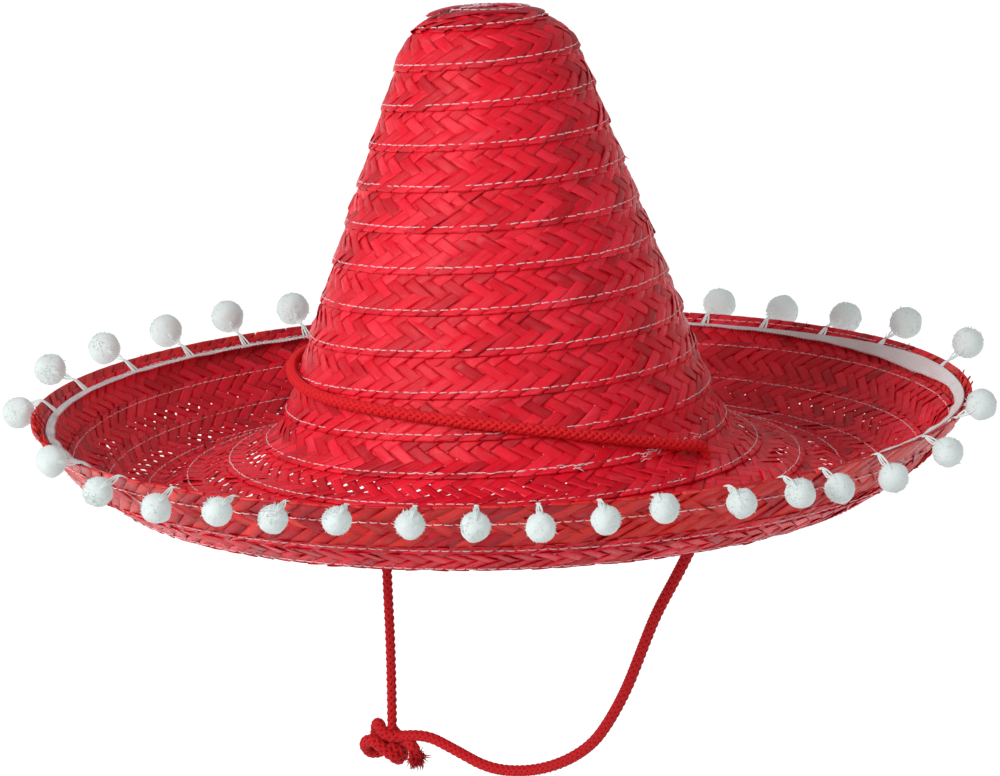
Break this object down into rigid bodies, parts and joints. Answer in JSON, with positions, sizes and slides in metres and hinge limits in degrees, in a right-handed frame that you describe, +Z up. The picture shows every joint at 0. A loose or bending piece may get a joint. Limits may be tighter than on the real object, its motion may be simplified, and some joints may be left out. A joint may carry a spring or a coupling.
{
  "type": "sombrero",
  "caption": "Wide-brimmed straw sombrero with a tall tapered crown, an upturned brim edged with pompoms, and a braided chin cord.",
  "frame": {"origin": "centre of the head opening, at the height where the crown meets the brim", "axes": "+Z up through the crown, -Y the wearer's front, +X the wearer's left"},
  "size_m": [0.4791, 0.4853, 0.3895],
  "materials": {
    "straw": "plaited palm straw dyed red, slightly glossy",
    "thread": "pale twisted sewing thread",
    "tape": "off-white woven trim tape",
    "pompom": "off-white fluffy cotton",
    "cord": "soft braided red cord"
  },
  "bodies": {
    "hat": {"crown_course_01": "straw", "crown_course_02": "straw", "crown_course_03": "straw", "crown_course_04": "straw", "crown_course_05": "straw", "crown_course_06": "straw", "crown_course_07": "straw", "crown_course_08": "straw", "crown_course_09": "straw", "crown_course_10": "straw", "crown_course_11": "straw", "crown_course_12": "straw", "crown_foot_course": "straw", "brim_course_01": "straw", "brim_course_02": "straw", "brim_course_03": "straw", "brim_course_04": "straw", "brim_course_05": "straw", "rim_course": "straw", "crown_tip": "straw", "seam_thread": "thread", "pompom_tape": "tape", "chin_cord_crown_run": "cord", "chin_cord_leg_left": "cord", "chin_cord_leg_right": "cord", "chin_knot": "cord"},
    "pompom_01": {"pompom_01": "pompom"},
    "pompom_02": {"pompom_02": "pompom"},
    "pompom_03": {"pompom_03": "pompom"},
    "pompom_04": {"pompom_04": "pompom"},
    "pompom_05": {"pompom_05": "pompom"},
    "pompom_06": {"pompom_06": "pompom"},
    "pompom_07": {"pompom_07": "pompom"},
    "pompom_08": {"pompom_08": "pompom"},
    "pompom_09": {"pompom_09": "pompom"},
    "pompom_10": {"pompom_10": "pompom"},
    "pompom_11": {"pompom_11": "pompom"},
    "pompom_12": {"pompom_12": "pompom"},
    "pompom_13": {"pompom_13": "pompom"},
    "pompom_14": {"pompom_14": "pompom"},
    "pompom_15": {"pompom_15": "pompom"},
    "pompom_16": {"pompom_16": "pompom"},
    "pompom_17": {"pompom_17": "pompom"},
    "pompom_18": {"pompom_18": "pompom"},
    "pompom_19": {"pompom_19": "pompom"},
    "pompom_20": {"pompom_20": "pompom"},
    "pompom_21": {"pompom_21": "pompom"},
    "pompom_22": {"pompom_22": "pompom"},
    "pompom_23": {"pompom_23": "pompom"},
    "pompom_24": {"pompom_24": "pompom"},
    "pompom_25": {"pompom_25": "pompom"},
    "pompom_26": {"pompom_26": "pompom"},
    "pompom_27": {"pompom_27": "pompom"},
    "pompom_28": {"pompom_28": "pompom"},
    "pompom_29": {"pompom_29": "pompom"},
    "pompom_30": {"pompom_30": "pompom"},
    "pompom_31": {"pompom_31": "pompom"},
    "pompom_32": {"pompom_32": "pompom"},
    "pompom_33": {"pompom_33": "pompom"}
  },
  "joints": [
    {"name": "pompom_01_swing", "type": "hinge", "parent": "hat", "child": "pompom_01", "pos_m": [0.22007, 0.0388, 0.005], "axis": [0.1736, -0.9848, 0], "range_deg": [-108, 40]},
    {"name": "pompom_02_swing", "type": "hinge", "parent": "hat", "child": "pompom_02", "pos_m": [0.19821, 0.10318, 0.00561], "axis": [0.4617, -0.887, 0], "range_deg": [-88, 50]},
    {"name": "pompom_03_swing", "type": "hinge", "parent": "hat", "child": "pompom_03", "pos_m": [0.17242, 0.14213, 0.00593], "axis": [0.6361, -0.7716, 0], "range_deg": [-68, 70]},
    {"name": "pompom_04_swing", "type": "hinge", "parent": "hat", "child": "pompom_04", "pos_m": [0.14363, 0.17117, 0.00615], "axis": [0.766, -0.6428, 0], "range_deg": [-63, 75]},
    {"name": "pompom_05_swing", "type": "hinge", "parent": "hat", "child": "pompom_05", "pos_m": [0.11341, 0.19253, 0.00629], "axis": [0.8616, -0.5075, 0], "range_deg": [-68, 70]},
    {"name": "pompom_06_swing", "type": "hinge", "parent": "hat", "child": "pompom_06", "pos_m": [0.08189, 0.2079, 0.00639], "axis": [0.9304, -0.3665, 0], "range_deg": [-68, 70]},
    {"name": "pompom_07_swing", "type": "hinge", "parent": "hat", "child": "pompom_07", "pos_m": [0.04455, 0.21896, 0.00646], "axis": [0.9799, -0.1994, 0], "range_deg": [-73, 65]},
    {"name": "pompom_08_swing", "type": "hinge", "parent": "hat", "child": "pompom_08", "pos_m": [0.00585, 0.22337, 0.00648], "axis": [0.9997, -0.0262, 0], "range_deg": [-68, 70]},
    {"name": "pompom_09_swing", "type": "hinge", "parent": "hat", "child": "pompom_09", "pos_m": [-0.03303, 0.22099, 0.00647], "axis": [0.989, 0.1478, 0], "range_deg": [-83, 55]},
    {"name": "pompom_10_swing", "type": "hinge", "parent": "hat", "child": "pompom_10", "pos_m": [-0.0709, 0.2119, 0.00642], "axis": [0.9483, 0.3173, 0], "range_deg": [-78, 60]},
    {"name": "pompom_11_swing", "type": "hinge", "parent": "hat", "child": "pompom_11", "pos_m": [-0.10662, 0.19637, 0.00632], "axis": [0.8788, 0.4772, 0], "range_deg": [-93, 45]},
    {"name": "pompom_12_swing", "type": "hinge", "parent": "hat", "child": "pompom_12", "pos_m": [-0.1391, 0.17487, 0.00617], "axis": [0.7826, 0.6225, 0], "range_deg": [-98, 40]},
    {"name": "pompom_13_swing", "type": "hinge", "parent": "hat", "child": "pompom_13", "pos_m": [-0.16736, 0.14806, 0.00598], "axis": [0.6626, 0.749, 0], "range_deg": [-88, 50]},
    {"name": "pompom_14_swing", "type": "hinge", "parent": "hat", "child": "pompom_14", "pos_m": [-0.19352, 0.11173, 0.00568], "axis": [0.5, 0.866, 0], "range_deg": [-83, 55]},
    {"name": "pompom_15_swing", "type": "hinge", "parent": "hat", "child": "pompom_15", "pos_m": [-0.2137, 0.06533, 0.00526], "axis": [0.2924, 0.9563, 0], "range_deg": [-78, 60]},
    {"name": "pompom_16_swing", "type": "hinge", "parent": "hat", "child": "pompom_16", "pos_m": [-0.22293, 0.01559, 0.00476], "axis": [0.0698, 0.9976, 0], "range_deg": [-38, 110]},
    {"name": "pompom_17_swing", "type": "hinge", "parent": "hat", "child": "pompom_17", "pos_m": [-0.18744, -0.12172, 0.00305], "axis": [-0.5446, 0.8387, 0], "range_deg": [-85, 70]},
    {"name": "pompom_18_swing", "type": "hinge", "parent": "hat", "child": "pompom_18", "pos_m": [-0.16609, -0.14955, 0.00264], "axis": [-0.6691, 0.7431, 0], "range_deg": [-50, 105]},
    {"name": "pompom_19_swing", "type": "hinge", "parent": "hat", "child": "pompom_19", "pos_m": [-0.14066, -0.1737, 0.00228], "axis": [-0.7771, 0.6293, 0], "range_deg": [-40, 115]},
    {"name": "pompom_20_swing", "type": "hinge", "parent": "hat", "child": "pompom_20", "pos_m": [-0.11344, -0.19258, 0.00199], "axis": [-0.8616, 0.5075, 0], "range_deg": [-55, 100]},
    {"name": "pompom_21_swing", "type": "hinge", "parent": "hat", "child": "pompom_21", "pos_m": [-0.09091, -0.20419, 0.0018], "axis": [-0.9135, 0.4067, 0], "range_deg": [-50, 105]},
    {"name": "pompom_22_swing", "type": "hinge", "parent": "hat", "child": "pompom_22", "pos_m": [-0.06535, -0.21375, 0.00165], "axis": [-0.9563, 0.2924, 0], "range_deg": [-55, 100]},
    {"name": "pompom_23_swing", "type": "hinge", "parent": "hat", "child": "pompom_23", "pos_m": [-0.03689, -0.22045, 0.00154], "axis": [-0.9863, 0.165, 0], "range_deg": [-50, 105]},
    {"name": "pompom_24_swing", "type": "hinge", "parent": "hat", "child": "pompom_24", "pos_m": [-0.0117, -0.22321, 0.00149], "axis": [-0.9986, 0.0523, 0], "range_deg": [-45, 110]},
    {"name": "pompom_25_swing", "type": "hinge", "parent": "hat", "child": "pompom_25", "pos_m": [0.01365, -0.2231, 0.00149], "axis": [-0.9981, -0.061, 0], "range_deg": [-35, 120]},
    {"name": "pompom_26_swing", "type": "hinge", "parent": "hat", "child": "pompom_26", "pos_m": [0.03881, -0.22012, 0.00154], "axis": [-0.9848, -0.1736, 0], "range_deg": [-45, 110]},
    {"name": "pompom_27_swing", "type": "hinge", "parent": "hat", "child": "pompom_27", "pos_m": [0.06161, -0.21486, 0.00163], "axis": [-0.9613, -0.2756, 0], "range_deg": [-60, 95]},
    {"name": "pompom_28_swing", "type": "hinge", "parent": "hat", "child": "pompom_28", "pos_m": [0.09269, -0.20339, 0.00181], "axis": [-0.91, -0.4147, 0], "range_deg": [-50, 105]},
    {"name": "pompom_29_swing", "type": "hinge", "parent": "hat", "child": "pompom_29", "pos_m": [0.11678, -0.19057, 0.00202], "axis": [-0.8526, -0.5225, 0], "range_deg": [-50, 105]},
    {"name": "pompom_30_swing", "type": "hinge", "parent": "hat", "child": "pompom_30", "pos_m": [0.13451, -0.1785, 0.00221], "axis": [-0.7986, -0.6018, 0], "range_deg": [-40, 115]},
    {"name": "pompom_31_swing", "type": "hinge", "parent": "hat", "child": "pompom_31", "pos_m": [0.16077, -0.15526, 0.00256], "axis": [-0.6947, -0.7193, 0], "range_deg": [-25, 130]},
    {"name": "pompom_32_swing", "type": "hinge", "parent": "hat", "child": "pompom_32", "pos_m": [0.18529, -0.12498, 0.003], "axis": [-0.5592, -0.829, 0], "range_deg": [-45, 110]},
    {"name": "pompom_33_swing", "type": "hinge", "parent": "hat", "child": "pompom_33", "pos_m": [0.20495, -0.08912, 0.00349], "axis": [-0.3987, -0.9171, 0], "range_deg": [-105, 50]}
  ]
}
